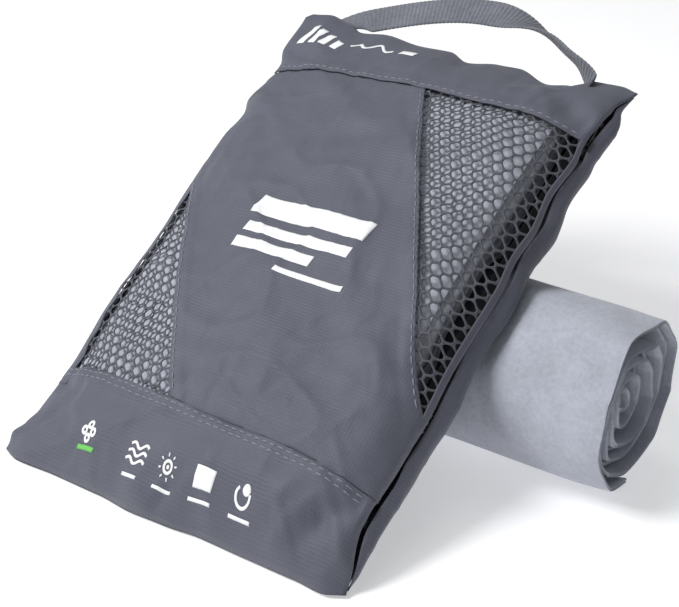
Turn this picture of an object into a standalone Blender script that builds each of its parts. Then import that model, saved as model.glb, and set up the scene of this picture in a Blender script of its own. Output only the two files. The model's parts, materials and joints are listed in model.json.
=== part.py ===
"""Quick-dry travel towel set: a zipped ripstop pouch that holds a folded towel, leaning on a rolled towel.

Shapes are laid out in the pouch's own directions: u across the pouch (towards its zip side), v up along it
from its bottom edge, n out of its front face. stand(u, v, n) leans them back over the roll. All in metres.
"""

from math import cos, pi, radians, sin, sqrt

import bmesh
import bpy
from mathutils import Matrix, Vector

OBJECT_NAME = "quick_dry_towel"

# The pouch
POUCH_WIDTH = 0.150
POUCH_HEIGHT = 0.218
LEAN = radians(30.1)
EDGE_RISE = 0.0020
EDGE_FOOT = 0.0009
FABRIC = 0.0006
SEAM_GAP = 0.0004
FRONT_BULGE = 0.0165
BACK_BULGE = 0.0085
LEFT_BOW = 0.005
FOLD_HEIGHT = 0.008
LEFT_PULL_IN = 0.080
LEFT_PULL_POWER = 3.5
RIGHT_PULL_IN = 0.048
RIGHT_PULL_POWER = 9
BAND_DIP = 0.006
BAND_DIP_FROM = 0.045
BAND_DIP_RUN = 0.027
END_EASE = 0.022
# How the filled pouch swells: the power and the roundness of its sections across and up
SWELL_ACROSS = (2.6, 0.75)
SWELL_UPWARD = (2.5, 0.78)

# The seams of the front, as lines between two (u, v) points
TOP_BAND_LINE = ((-0.075, 0.1865), (0.075, 0.1865))
BOTTOM_BAND_LINE = ((-0.075, 0.0370), (0.075, 0.0315))
LEFT_WINDOW_LINE = ((-0.0745, 0.1270), (-0.0140, 0.0350))
RIGHT_WINDOW_LINE = ((0.0060, 0.1865), (0.0745, 0.0660))

# The side strip that turns from the zip to the back, as offsets from the front fold's edge
STRIP_EDGE = (0.0017, -0.0024)
STRIP_BULGE = (0.0062, -0.0055)
STRIP_SAG = 0.0045
STRIP_FOOT_INSET = 0.0005
STRIP_TRIM = 0.004
BACK_EDGE_INSET = 0.0008

# The zip, in the plane behind the gap between the two folded edges
GAP_DIRECTION = Vector((0.578, 0, -0.816))
GAP_OUTWARD = Vector((0.816, 0, 0.578))
CHAIN_U = 0.0697
CHAIN_N = 0.00495
COIL_SPACING = 0.0030
COIL_RADIUS = 0.00075
ZIP_BOTTOM = 0.0250
ZIP_TOP = 0.1930
TAPE_THICKNESS = 0.0005
FRONT_TAPE_WIDTH = 0.0032
BACK_TAPE_WIDTH = 0.0018
STOP_LENGTH = 0.0025
STOP_SIZE = 0.0022
SLIDER_V = 0.1865
SLIDER_LENGTH = 0.0085
SLIDER_WIDTH = 0.0063
SLIDER_HEIGHT = 0.0033
SLIDER_WALL = 0.0006
TAPE_SLOT = 0.0011
POST_WIDTH = 0.0009
POST_LENGTH = 0.0016
POST_PLACE = 0.28
BAIL_LENGTH = 0.0044
BAIL_HEIGHT = 0.0018
BAIL_WIRE = 0.0007
BAIL_WIDTH = 0.0009
TAB_LENGTH = 0.0120
TAB_WIDTH = 0.0022
TAB_THICKNESS = 0.0006
TAB_PIN = 0.0006
TAB_EYE = 0.0025
TAB_EYE_WIDTH = 0.0013
TAB_GRIP = (0.45, 0.40)
TAB_GRIP_PLACE = 0.60

# The handle
STRAP_WIDTH = 0.0125
STRAP_THICKNESS = 0.0013
STRAP_LEFT = -0.0580
STRAP_RIGHT = 0.0560
STRAP_FOOT_V = 0.2195
STRAP_RISE = 0.0195
STRAP_FORWARD = 0.004
STRAP_TWIST = radians(78)
STRAP_LEANING = 1.25
STRAP_FULLNESS = 0.85
STRAP_AXIS_V = 0.2185
STRAP_FOOT_SHARE = 0.16
STRAP_TWIST_FROM = 0.55
STRAP_TWIST_SHARE = 0.30
STRAP_END_SHARE = 0.12
STRAP_END_SIDE = Vector((-0.4, 0, -0.9))

# The thread of the top-stitched seams
THREAD_RADIUS = 0.00025
STITCH_OFFSET = 0.0016
STITCH_CLEARANCE = 0.0005
STITCH_SHARES = (0.03, 0.97)
STITCH_POINTS = 16
SECOND_ROW_OFFSET = 0.0036

# The two towels
TOWEL_SIDES = (-0.0620, 0.0610)
TOWEL_ENDS = (0.0090, 0.2060)
TOWEL_TOP_CLEARANCE = 0.0014
TOWEL_UNDER_CLEARANCE = 0.0024
TOWEL_EDGE = 0.28
TOWEL_SIDE_ROUNDING = 14
TOWEL_END_ROUNDING = 18
ROLL_RADIUS = 0.0325
ROLL_CENTRE_Y = 0.1120
ROLL_RIGHT = 0.1200
ROLL_LENGTH = 0.1525
ROLL_DENT = -0.0015
ROLL_DENT_END = 0.0790
ROLL_ROUND_FROM = 0.0890
ROLL_SIDES = 48
ROLL_FOOT = 0.0006
ROLL_CLEARANCE = 0.0006

# Modelling limits
CUT_TOLERANCE = 0.00001
SHARP_ANGLE = radians(35)
BAND_MARGIN = 0.004

# Colours, as linear red, green and blue
SLATE_FABRIC = (0.105, 0.112, 0.140)
DARK_NET = (0.045, 0.047, 0.058)
WEBBING_GREY = (0.150, 0.158, 0.185)
ZIP_BLACK = (0.015, 0.015, 0.017)
GUNMETAL = (0.120, 0.125, 0.135)
THREAD_GREY = (0.200, 0.210, 0.240)
TOWEL_GREY = (0.420, 0.440, 0.510)


def ease(x):
    """A smooth step from 0 to 1 as x goes from 0 to 1."""
    x = min(max(x, 0.0), 1.0)
    return x * x * (3 - 2 * x)


def stand(u, v, n):
    """A point of the pouch, leant back over the roll, with the fabric of its bottom edge on the ground."""
    rise = EDGE_FOOT + (EDGE_RISE - EDGE_FOOT) * ease(v / END_EASE)
    return Vector((u, v * cos(LEAN) - n * sin(LEAN), rise + v * sin(LEAN) + n * cos(LEAN)))


def along(u, v, n):
    """A direction in the pouch's u, v, n, as a direction in space."""
    return Vector((u, v * cos(LEAN) - n * sin(LEAN), v * sin(LEAN) + n * cos(LEAN)))


def pillow(share, power, roundness):
    """How full a pillow is at a share (-1 to 1) of the way to its edges."""
    return max(1 - abs(share) ** power, 0.0) ** roundness


def plateau(v):
    """1 along most of the pouch's side, and 0 at its two corners."""
    return ease(v / END_EASE) * ease((POUCH_HEIGHT - v) / END_EASE)


def pulled_in(a, v):
    """The filled pouch draws its long edges in between the corners."""
    pull, power = (RIGHT_PULL_IN, RIGHT_PULL_POWER) if a > 0 else (LEFT_PULL_IN, LEFT_PULL_POWER)
    return a * (1 - pull * (1 - abs(2 * v / POUCH_HEIGHT - 1) ** power))


def rim_height(a, v):
    """Height of the plane through the pouch's two long edges."""
    share = a / POUCH_WIDTH + 0.5
    left = LEFT_BOW * sin(pi * v / POUCH_HEIGHT)
    return left * (1 - share) + FOLD_HEIGHT * plateau(v) * share


def swell_upward(v):
    return pillow(2 * v / POUCH_HEIGHT - 1, *SWELL_UPWARD)


def swell(a, b):
    """How far the pouch is swollen at a point of its flat pattern, 0 at its edges and 1 in its middle."""
    return pillow(2 * a / POUCH_WIDTH, *SWELL_ACROSS) * swell_upward(b)


def front(a, b):
    """The front's outer surface at a point (a, b) of its flat pattern."""
    dip = BAND_DIP * ease((a - BAND_DIP_FROM) / BAND_DIP_RUN) * sin(pi * b / POUCH_HEIGHT) ** 2
    v = b - dip
    n = rim_height(a, v) + SEAM_GAP + FABRIC + FRONT_BULGE * swell(a, b)
    return pulled_in(a, v), v, n


def roll_top(v):
    """Height of the dented roll below the pouch, or far below where there is no roll."""
    centre_v = ROLL_CENTRE_Y * cos(LEAN) + (ROLL_RADIUS - EDGE_RISE) * sin(LEAN)
    centre_n = -ROLL_CENTRE_Y * sin(LEAN) + (ROLL_RADIUS - EDGE_RISE) * cos(LEAN)
    reach = ROLL_RADIUS**2 - (v - centre_v) ** 2
    if reach <= 0:
        return -1.0
    return min(centre_n + sqrt(reach), ROLL_DENT)


def fold_edge(v):
    """The edge of the front at the zip side, as (u, n)."""
    return pulled_in(POUCH_WIDTH / 2, v), FOLD_HEIGHT * plateau(v)


def strip_foot(v):
    """Where the side strip meets the back panel, as (u, n)."""
    u, _ = fold_edge(v)
    n = max(-STRIP_SAG * swell_upward(v), roll_top(v) + ROLL_CLEARANCE) - SEAM_GAP
    return u - STRIP_FOOT_INSET, n


def back(a, b):
    """The back panel's outer surface at a point (a, b) of its flat pattern."""
    share = a / POUCH_WIDTH + 0.5
    foot_u, foot_n = strip_foot(b)
    left_n = LEFT_BOW * sin(pi * b / POUCH_HEIGHT) - SEAM_GAP - FABRIC
    n = left_n * (1 - share) + foot_n * share - BACK_BULGE * swell(a, b)
    u = pulled_in(a, b) if a < 0 else a * (foot_u - BACK_EDGE_INSET) / (POUCH_WIDTH / 2)
    return u, b, max(n, roll_top(b) + ROLL_CLEARANCE)


def side_strip(t, b):
    """The strip from the zip's folded edge (t = 0) round to the back panel (t = 1)."""
    u, n = fold_edge(b)
    size = plateau(b)
    start = Vector((u + STRIP_EDGE[0] * size, n + STRIP_EDGE[1] * size))
    middle = Vector((u + STRIP_BULGE[0] * size, n + STRIP_BULGE[1] * size))
    end = Vector(strip_foot(b))
    place = start * (1 - t) ** 2 + middle * 2 * t * (1 - t) + end * t**2
    return place.x, b, place.y


def material(name, colour, roughness, metallic=0.0):
    made = bpy.data.materials.new(name)
    made.use_nodes = True
    shader = made.node_tree.nodes["Principled BSDF"]
    shader.inputs["Base Color"].default_value = (*colour, 1.0)
    shader.inputs["Roughness"].default_value = roughness
    shader.inputs["Metallic"].default_value = metallic
    made.diffuse_color = (*colour, 1.0)
    return made


def add(name, mesh, look, origin=Vector((0, 0, 0)), smooth=True):
    """Puts a mesh whose points are in space into an object whose origin is at the given point."""
    mesh.transform(Matrix.Translation(-origin))
    mesh.materials.clear()
    mesh.materials.append(look)
    if smooth:
        mesh.shade_smooth()
        mesh.set_sharp_from_angle(angle=SHARP_ANGLE)
    made = bpy.data.objects.new(name, mesh)
    made.location = origin
    made.parent = assembly
    collection.objects.link(made)
    return made


def cut_grid(columns, rows, low, high, cuts):
    """A flat grid from low to high in (a, b), trimmed to the left of each cut, a line between two points."""
    bm = bmesh.new()
    bmesh.ops.create_grid(bm, x_segments=columns, y_segments=rows, size=0.5)
    size = Vector((high[0] - low[0], high[1] - low[1], 1))
    bmesh.ops.scale(bm, vec=size, verts=bm.verts)
    centre = Vector(((high[0] + low[0]) / 2, (high[1] + low[1]) / 2, 0))
    bmesh.ops.translate(bm, vec=centre, verts=bm.verts)
    for start, end in cuts:
        start, end = Vector((*start, 0)), Vector((*end, 0))
        right = (end - start).cross(Vector((0, 0, 1))).normalized()
        geometry = bm.verts[:] + bm.edges[:] + bm.faces[:]
        bmesh.ops.bisect_plane(
            bm,
            geom=geometry,
            dist=CUT_TOLERANCE,
            plane_co=start - right * SEAM_GAP / 2,
            plane_no=right,
            clear_outer=True,
        )
    return bm


def sheet(name, grid, surface, look, thickness=FABRIC, turned=False, origin=Vector((0, 0, 0))):
    """Shapes a flat grid by surface(a, b) -> (u, v, n) and thickens it away from its outer side."""
    for vertex in grid.verts:
        vertex.co = stand(*surface(vertex.co.x, vertex.co.y))
    if turned:
        bmesh.ops.reverse_faces(grid, faces=grid.faces)
    mesh = bpy.data.meshes.new(name)
    grid.to_mesh(mesh)
    grid.free()
    made = add(name, mesh, look, origin)
    shell = made.modifiers.new("thickness", "SOLIDIFY")
    shell.thickness = thickness
    shell.offset = -1
    return made


def reverse(line):
    return line[1], line[0]


def front_panels():
    half = POUCH_WIDTH / 2
    low, high = (-half, 0), (half, POUCH_HEIGHT)
    inner = [reverse(TOP_BAND_LINE), BOTTOM_BAND_LINE]
    fabric = looks["slate_fabric"]
    net = looks["dark_net"]
    band_top = (-half, TOP_BAND_LINE[0][1] - BAND_MARGIN)
    band_bottom = (half, BOTTOM_BAND_LINE[0][1] + BAND_MARGIN)
    sheet("top_band", cut_grid(22, 6, band_top, high, [TOP_BAND_LINE]), front, fabric)
    bottom = cut_grid(22, 8, low, band_bottom, [reverse(BOTTOM_BAND_LINE)])
    sheet("bottom_band", bottom, front, fabric)
    centre_cuts = inner + [LEFT_WINDOW_LINE, reverse(RIGHT_WINDOW_LINE)]
    sheet("front_diagonal_panel", cut_grid(22, 30, low, high, centre_cuts), front, fabric)
    left = cut_grid(22, 30, low, high, inner + [reverse(LEFT_WINDOW_LINE)])
    sheet("mesh_panel_left", left, front, net)
    right = cut_grid(22, 30, low, high, inner + [RIGHT_WINDOW_LINE])
    sheet("mesh_panel_right", right, front, net)


def back_and_side():
    half = POUCH_WIDTH / 2
    fabric = looks["slate_fabric"]
    sheet("back_panel", cut_grid(18, 30, (-half, 0), (half, POUCH_HEIGHT), []), back, fabric, turned=True)
    strip = cut_grid(4, 30, (0, STRIP_TRIM), (1, POUCH_HEIGHT - STRIP_TRIM), [])
    sheet("zipper_side_strip", strip, side_strip, fabric)


def zip_point(across, v, outward):
    """A point of the zip: across its chain (towards the back), along the pouch, and out of the pouch."""
    place = GAP_DIRECTION * across + GAP_OUTWARD * outward
    return stand(CHAIN_U + place.x, v, CHAIN_N + place.z)


def zip_frame(v, outward=0.0):
    """A matrix whose x is across the chain, y is up the zip and z is out of the pouch."""
    place = zip_point(0, v, outward)
    x = along(GAP_DIRECTION.x, 0, GAP_DIRECTION.z)
    y = along(0, 1, 0)
    z = along(GAP_OUTWARD.x, 0, GAP_OUTWARD.z)
    axes = Matrix((x, y, z)).transposed().to_4x4()
    return Matrix.Translation(place) @ axes


def block(name, centre, size, frame):
    """A box of a given size, centred in the zip's frame, as a mesh in space."""
    bm = bmesh.new()
    bmesh.ops.create_cube(bm, size=1.0)
    bmesh.ops.scale(bm, vec=Vector(size), verts=bm.verts)
    bmesh.ops.translate(bm, vec=Vector(centre), verts=bm.verts)
    bmesh.ops.transform(bm, matrix=frame, verts=bm.verts)
    mesh = bpy.data.meshes.new(name)
    bm.to_mesh(mesh)
    bm.free()
    return mesh


def tool(name, centre, size, frame, target, operation):
    """Joins a box to target or cuts it away. The box itself isn't a part."""
    made = bpy.data.objects.new(name, block(name, centre, size, frame))
    made.hide_render = True
    made.display_type = "WIRE"
    tools.objects.link(made)
    step = target.modifiers.new(name, "BOOLEAN")
    step.operation = operation
    step.object = made
    made.parent = assembly


def tube(name, points, radius, look):
    """A round cord through points in space."""
    curve = bpy.data.curves.new(name, "CURVE")
    curve.dimensions = "3D"
    curve.bevel_depth = radius
    curve.bevel_resolution = 1
    curve.use_fill_caps = True
    line = curve.splines.new("POLY")
    line.points.add(len(points) - 1)
    for place, point in zip(line.points, points):
        place.co = (*point, 1)
    curve.materials.append(look)
    made = bpy.data.objects.new(name, curve)
    made.parent = assembly
    collection.objects.link(made)


def zipper():
    black = looks["zip_black"]
    metal = looks["gunmetal"]
    side = COIL_SPACING / 2
    middle = (ZIP_BOTTOM + ZIP_TOP) / 2
    length = ZIP_TOP - ZIP_BOTTOM
    for name, sign, width in (("front", -1, FRONT_TAPE_WIDTH), ("back", 1, BACK_TAPE_WIDTH)):
        ends = [zip_point(sign * side, ZIP_BOTTOM, 0), zip_point(sign * side, ZIP_TOP, 0)]
        tube("zipper_coil_" + name, ends, COIL_RADIUS, black)
        inner = side + COIL_RADIUS + SEAM_GAP
        centre = (sign * (inner + width / 2), 0, 0)
        tape = block("zipper_tape_" + name, centre, (width, length, TAPE_THICKNESS), zip_frame(middle))
        add("zipper_tape_" + name, tape, black, smooth=False)
        stop_at = ZIP_TOP + SEAM_GAP + STOP_LENGTH / 2
        size = (STOP_SIZE, STOP_LENGTH, STOP_SIZE)
        stop = block("zipper_top_stop_" + name, (sign * side, 0, 0), size, zip_frame(stop_at))
        add("zipper_top_stop_" + name, stop, metal, smooth=False)
    stop_at = ZIP_BOTTOM - SEAM_GAP - STOP_LENGTH / 2
    size = (COIL_SPACING + STOP_SIZE, STOP_LENGTH, STOP_SIZE)
    add("zipper_bottom_stop", block("stop", (0, 0, 0), size, zip_frame(stop_at)), metal, smooth=False)


def slider():
    metal = looks["gunmetal"]
    frame = zip_frame(SLIDER_V)
    size = (SLIDER_WIDTH, SLIDER_LENGTH, SLIDER_HEIGHT)
    body = block("slider", (0, 0, 0), size, frame)
    made = add("zipper_slider", body, metal, zip_point(0, SLIDER_V, 0), smooth=False)
    long = SLIDER_LENGTH * 2
    inside = SLIDER_HEIGHT - 2 * SLIDER_WALL
    chain_way = (SLIDER_WIDTH - 2 * SLIDER_WALL, long, inside)
    tool("cut_chain_way", (0, 0, 0), chain_way, frame, made, "DIFFERENCE")
    tool("cut_tape_slot", (0, 0, 0), (SLIDER_WIDTH * 2, long, TAPE_SLOT), frame, made, "DIFFERENCE")
    post = (POST_WIDTH, POST_LENGTH, SLIDER_HEIGHT - SLIDER_WALL)
    tool("join_post", (0, SLIDER_LENGTH * POST_PLACE, 0), post, frame, made, "UNION")
    top = SLIDER_HEIGHT / 2
    rooted = BAIL_HEIGHT + SLIDER_WALL / 2
    centre = (0, 0, top + BAIL_HEIGHT - rooted / 2)
    tool("join_bail", centre, (BAIL_WIDTH, BAIL_LENGTH, rooted), frame, made, "UNION")
    window = (BAIL_WIDTH * 2, BAIL_LENGTH - 2 * BAIL_WIRE, BAIL_HEIGHT - BAIL_WIRE)
    tool("cut_bail_window", (0, 0, tab_pivot()), window, frame, made, "DIFFERENCE")


def tab_pivot():
    """Height of the pull tab's pin, which turns in the middle of the bail's window."""
    return SLIDER_HEIGHT / 2 + (BAIL_HEIGHT - BAIL_WIRE) / 2


def pull_tab():
    """A flat tab whose rear end is a pin inside the bail, with an eye that lets it turn round the bail."""
    frame = zip_frame(SLIDER_V, tab_pivot())
    rear = TAB_PIN / 2
    size = (TAB_WIDTH, TAB_LENGTH, TAB_THICKNESS)
    mesh = block("tab", (0, TAB_LENGTH / 2 - rear, 0), size, frame)
    made = add("zipper_pull", mesh, looks["gunmetal"], zip_point(0, SLIDER_V, tab_pivot()), smooth=False)
    deep = TAB_THICKNESS * 3
    eye = (TAB_EYE_WIDTH, TAB_EYE, deep)
    tool("cut_tab_eye", (0, rear + TAB_EYE / 2, 0), eye, frame, made, "DIFFERENCE")
    grip = (TAB_WIDTH * TAB_GRIP[0], TAB_LENGTH * TAB_GRIP[1], deep)
    tool("cut_tab_window", (0, TAB_LENGTH * TAB_GRIP_PLACE, 0), grip, frame, made, "DIFFERENCE")


def strap_centre(t):
    """The handle's middle line, from its left foot (t = 0) to its right foot (t = 1), in u, v, n."""
    u = STRAP_LEFT + (STRAP_RIGHT - STRAP_LEFT) * t
    rise = (sin(pi * t**STRAP_LEANING) ** STRAP_FULLNESS) * STRAP_RISE
    forward = STRAP_FORWARD * sin(pi * t)
    return Vector((u, STRAP_FOOT_V + rise, forward))


def strap_surface(t, across):
    """The ribbon: square to the pouch's face on the left, turned edge-on to it on the right."""
    step = 0.01
    low, high = max(t - step, 0), min(t + step, 1)
    run = (strap_centre(high) - strap_centre(low)).normalized()
    side = Vector((0, 0, 1)).cross(run).normalized()
    foot = ease(t / STRAP_FOOT_SHARE)
    side = (Vector((-1, 0, 0)) * (1 - foot) + side * foot).normalized()
    twist = STRAP_TWIST * ease((t - STRAP_TWIST_FROM) / STRAP_TWIST_SHARE)
    side = side * cos(twist) + Vector((0, 0, -1)) * sin(twist)
    end = ease((t - 1 + STRAP_END_SHARE) / STRAP_END_SHARE)
    side = (side * (1 - end) + STRAP_END_SIDE * end).normalized()
    place = strap_centre(t) + side * across * STRAP_WIDTH
    return place.x, max(place.y, STRAP_FOOT_V), place.z


def handle():
    grid = cut_grid(40, 2, (0, -0.5), (1, 0.5), [])
    webbing = looks["webbing_grey"]
    axis_point = stand(0, STRAP_AXIS_V, 0)
    made = sheet("handle_strap", grid, strap_surface, webbing, STRAP_THICKNESS, origin=axis_point)
    made.modifiers["thickness"].offset = 0


def stitch_points(line, offset):
    """A row of thread beside a seam line, lying just above the fabric."""
    start, end = Vector(line[0]), Vector(line[1])
    run = (end - start).normalized()
    aside = Vector((run.y, -run.x)) * offset
    low, high = STITCH_SHARES
    points = []
    for i in range(STITCH_POINTS):
        share = low + (high - low) * i / (STITCH_POINTS - 1)
        place = start.lerp(end, share) + aside
        u, v, n = front(place.x, place.y)
        points.append(stand(u, v, n + THREAD_RADIUS + STITCH_CLEARANCE))
    return points


def topstitching():
    grey = looks["thread_grey"]
    rows = (
        ("topstitch_top_band", TOP_BAND_LINE, -STITCH_OFFSET),
        ("topstitch_bottom_band_upper", BOTTOM_BAND_LINE, STITCH_OFFSET),
        ("topstitch_bottom_band_lower", BOTTOM_BAND_LINE, SECOND_ROW_OFFSET),
        ("topstitch_window_left", LEFT_WINDOW_LINE, -STITCH_OFFSET),
        ("topstitch_window_right", RIGHT_WINDOW_LINE, STITCH_OFFSET),
    )
    for name, line, offset in rows:
        tube(name, stitch_points(line, offset), THREAD_RADIUS, grey)


def towel_surface(place):
    """Fits a unit cube's point to the folded towel's place between the pouch's two faces."""
    left, right = TOWEL_SIDES
    a = left + (right - left) * (place.x + 0.5)
    b = TOWEL_ENDS[0] + (TOWEL_ENDS[1] - TOWEL_ENDS[0]) * (place.y + 0.5)
    u, v, top = front(a, b)
    low = back(a, v)[2] + FABRIC + TOWEL_UNDER_CLEARANCE
    high = top - FABRIC - TOWEL_TOP_CLEARANCE
    middle = (low + high) / 2
    half = (high - low) / 2
    round_side = TOWEL_EDGE + (1 - TOWEL_EDGE) * pillow(2 * place.x, TOWEL_SIDE_ROUNDING, 0.5)
    round_end = TOWEL_EDGE + (1 - TOWEL_EDGE) * pillow(2 * place.y, TOWEL_END_ROUNDING, 0.5)
    return stand(u, v, middle + 2 * place.z * half * round_side * round_end)


def folded_towel():
    bm = bmesh.new()
    bmesh.ops.create_grid(bm, x_segments=14, y_segments=22, size=0.5)
    extruded = bmesh.ops.extrude_face_region(bm, geom=bm.faces[:])
    top = [item for item in extruded["geom"] if isinstance(item, bmesh.types.BMVert)]
    bmesh.ops.translate(bm, vec=Vector((0, 0, 0.5)), verts=top)
    for vertex in bm.verts:
        if vertex not in top:
            vertex.co.z = -0.5
    bmesh.ops.recalc_face_normals(bm, faces=bm.faces)
    for vertex in bm.verts:
        vertex.co = towel_surface(vertex.co)
    mesh = bpy.data.meshes.new("folded_towel")
    bm.to_mesh(mesh)
    bm.free()
    add("folded_towel", mesh, looks["towel_grey"])


def rolled_towel():
    """A cylinder that lies on the ground, with a flat foot and a dent where the pouch leans on it."""
    bm = bmesh.new()
    bmesh.ops.create_cone(
        bm,
        cap_ends=True,
        segments=ROLL_SIDES,
        radius1=ROLL_RADIUS,
        radius2=ROLL_RADIUS,
        depth=ROLL_LENGTH,
    )
    bmesh.ops.rotate(bm, matrix=Matrix.Rotation(pi / 2, 3, "Y"), verts=bm.verts)
    centre = Vector((ROLL_RIGHT - ROLL_LENGTH / 2, ROLL_CENTRE_Y, ROLL_RADIUS - ROLL_FOOT))
    bmesh.ops.translate(bm, vec=centre, verts=bm.verts)
    for x in (ROLL_DENT_END, ROLL_ROUND_FROM):
        geometry = bm.verts[:] + bm.edges[:] + bm.faces[:]
        bmesh.ops.bisect_plane(bm, geom=geometry, dist=CUT_TOLERANCE, plane_co=(x, 0, 0), plane_no=(1, 0, 0))
    normal = along(0, 0, 1)
    plane = Vector((0, 0, EDGE_RISE)) + normal * ROLL_DENT
    for vertex in bm.verts:
        above = (vertex.co - plane).dot(normal)
        if vertex.co.x < ROLL_ROUND_FROM - 0.0001 and above > 0:
            vertex.co -= normal * above
        vertex.co.z = max(vertex.co.z, 0)
    mesh = bpy.data.meshes.new("rolled_towel")
    bm.to_mesh(mesh)
    bm.free()
    add("rolled_towel", mesh, looks["towel_grey"], centre)


def centre_on_base():
    """Moves the assembly so that the origin is at the middle of the base of its bounding box."""
    bpy.context.view_layer.update()
    graph = bpy.context.evaluated_depsgraph_get()
    corners = []
    for made in collection.objects:
        if made.type in {"MESH", "CURVE"}:
            shape = made.evaluated_get(graph)
            mesh = shape.to_mesh()
            corners += [shape.matrix_world @ vertex.co for vertex in mesh.vertices]
            shape.to_mesh_clear()
    low = Vector([min(point[axis] for point in corners) for axis in range(3)])
    high = Vector([max(point[axis] for point in corners) for axis in range(3)])
    assembly.location = Vector((-(low.x + high.x) / 2, -(low.y + high.y) / 2, -low.z))
    bpy.context.view_layer.update()


for old in list(bpy.data.objects):
    bpy.data.objects.remove(old)
collection = bpy.data.collections.new(OBJECT_NAME)
tools = bpy.data.collections.new("cutters")
bpy.context.scene.collection.children.link(collection)
bpy.context.scene.collection.children.link(tools)
assembly = bpy.data.objects.new("assembly", None)
collection.objects.link(assembly)

looks = {
    "slate_fabric": material("slate_fabric", SLATE_FABRIC, 0.62),
    "dark_net": material("dark_net", DARK_NET, 0.55),
    "webbing_grey": material("webbing_grey", WEBBING_GREY, 0.75),
    "zip_black": material("zip_black", ZIP_BLACK, 0.50),
    "gunmetal": material("gunmetal", GUNMETAL, 0.35, 0.9),
    "thread_grey": material("thread_grey", THREAD_GREY, 0.60),
    "towel_grey": material("towel_grey", TOWEL_GREY, 0.90),
}

front_panels()
back_and_side()
zipper()
slider()
pull_tab()
handle()
topstitching()
folded_towel()
rolled_towel()
centre_on_base()
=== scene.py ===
"""Quick-dry travel towel set: the looks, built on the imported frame. Everything is in metres.

u runs across the pouch towards its zip, v up it from its bottom edge, and n out of its front face. a and b
are the flat pattern's u and v, before the filled pouch draws its long edges in.
"""

import json
from math import cos, pi, radians, sin

import bmesh
import bpy
import numpy as np
from mathutils import Matrix, Vector


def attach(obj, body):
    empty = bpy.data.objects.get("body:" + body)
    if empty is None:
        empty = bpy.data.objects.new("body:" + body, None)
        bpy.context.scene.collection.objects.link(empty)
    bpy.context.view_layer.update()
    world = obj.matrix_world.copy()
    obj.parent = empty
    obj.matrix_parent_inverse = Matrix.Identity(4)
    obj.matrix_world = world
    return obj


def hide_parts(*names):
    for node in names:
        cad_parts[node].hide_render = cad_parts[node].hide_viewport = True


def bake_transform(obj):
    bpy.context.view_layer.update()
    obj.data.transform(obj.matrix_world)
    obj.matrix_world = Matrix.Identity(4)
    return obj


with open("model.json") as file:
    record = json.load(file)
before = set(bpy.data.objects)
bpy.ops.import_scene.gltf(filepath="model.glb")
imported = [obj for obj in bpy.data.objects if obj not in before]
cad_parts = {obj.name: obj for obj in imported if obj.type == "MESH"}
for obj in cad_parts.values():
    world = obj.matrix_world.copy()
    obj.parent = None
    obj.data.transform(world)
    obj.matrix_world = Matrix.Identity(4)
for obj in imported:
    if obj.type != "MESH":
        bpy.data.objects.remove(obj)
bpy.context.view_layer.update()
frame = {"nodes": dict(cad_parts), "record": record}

MM = 0.001

# The pouch, as in the CAD
ROW_SHIFT = np.array((-0.0225, -0.105163, 0.0))
WIDTH = 0.150
HEIGHT = 0.218
LEAN = radians(30.1)
EDGE_RISE = 0.0020
EDGE_FOOT = 0.0009
END_EASE = 0.022
FABRIC = 0.0006
RIM_GAP = 0.0004
FRONT_BULGE = 0.0165
BACK_BULGE = 0.0085
LEFT_BOW = 0.005
FOLD_HEIGHT = 0.008
LEFT_PULL_IN = 0.080
LEFT_PULL_POWER = 3.5
RIGHT_PULL_IN = 0.048
RIGHT_PULL_POWER = 9
SWELL_ACROSS = (2.6, 0.75)
SWELL_UPWARD = (2.5, 0.78)
BAND_DIP = 0.006
BAND_DIP_FROM = 0.045
BAND_DIP_RUN = 0.027
TOP_BAND = ((-0.075, 0.1865), (0.075, 0.1865))
BOTTOM_BAND = ((-0.075, 0.0370), (0.075, 0.0315))
LEFT_WINDOW = ((-0.0745, 0.1270), (-0.0140, 0.0350))
RIGHT_WINDOW = ((0.0060, 0.1865), (0.0745, 0.0660))
STRIP_EDGE = (0.0017, -0.0024)
STRIP_SAG = 0.0045
STRIP_FOOT_INSET = 0.0005
STRIP_FOOT_DROP = 0.0004
BACK_EDGE_INSET = 0.0008
ROLL_CLEARANCE = 0.0006
HALF = WIDTH / 2

# The pouch, where the looks depart from the CAD
BOXED_ACROSS = (4.6, 0.62)
BOXED_UPWARD = (4.0, 0.62)
SHOULDER = 0.75
STRIP_BULGE = (0.0066, -0.0060)
STRIP_TRIM = 0.002
SLIDER_ZONE = (0.172, 0.208)
LOW_ZONE = (0.004, 0.048)
ZONE_INNER_EASE = 0.010
ZONE_OUTER_EASE = 0.008
# How far the zip's lips stand open, as a share of the gap in the CAD
LIP_GAP = 0.14
SLIDER_LIP_GAP = 0.50

# The zip
GAP_ALONG = (0.578, -0.816)
GAP_OUTWARD = (0.816, 0.578)
CHAIN_U = 0.0697
CHAIN_N = 0.00495
COIL_SPACING = 0.0030
COIL_RADIUS = 0.00075
ZIP_ENDS = (0.0275, 0.1905)
TOOTH_PITCH = 0.0013
TOOTH_WIRE = 0.00026

# The handle
STRAP_WIDTH = 0.0125
STRAP_THICKNESS = 0.0012
STRAP_ENDS = (-0.0580, 0.0560)
STRAP_FOOT_V = 0.2195
STRAP_RISE = 0.0195
STRAP_FORWARD = 0.004
STRAP_TWIST = radians(78)
STRAP_LENGTH = 0.140
STRAP_TUCK = 0.0045
STRAP_FOOT_TURN = 0.16
STRAP_TWIST_FROM = 0.55
STRAP_TWIST_RUN = 0.30
STRAP_LAST_FROM = 0.88
STRAP_LAST_RUN = 0.12
STRAP_LAST_SIDE = (-0.4, 0, -0.9)
STRAP_BLEND = (0.2150, 0.2215)
RIB_PITCH = 0.0017
RIB_HEIGHT = 0.00030
RIB_POINTS = 8

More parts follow.
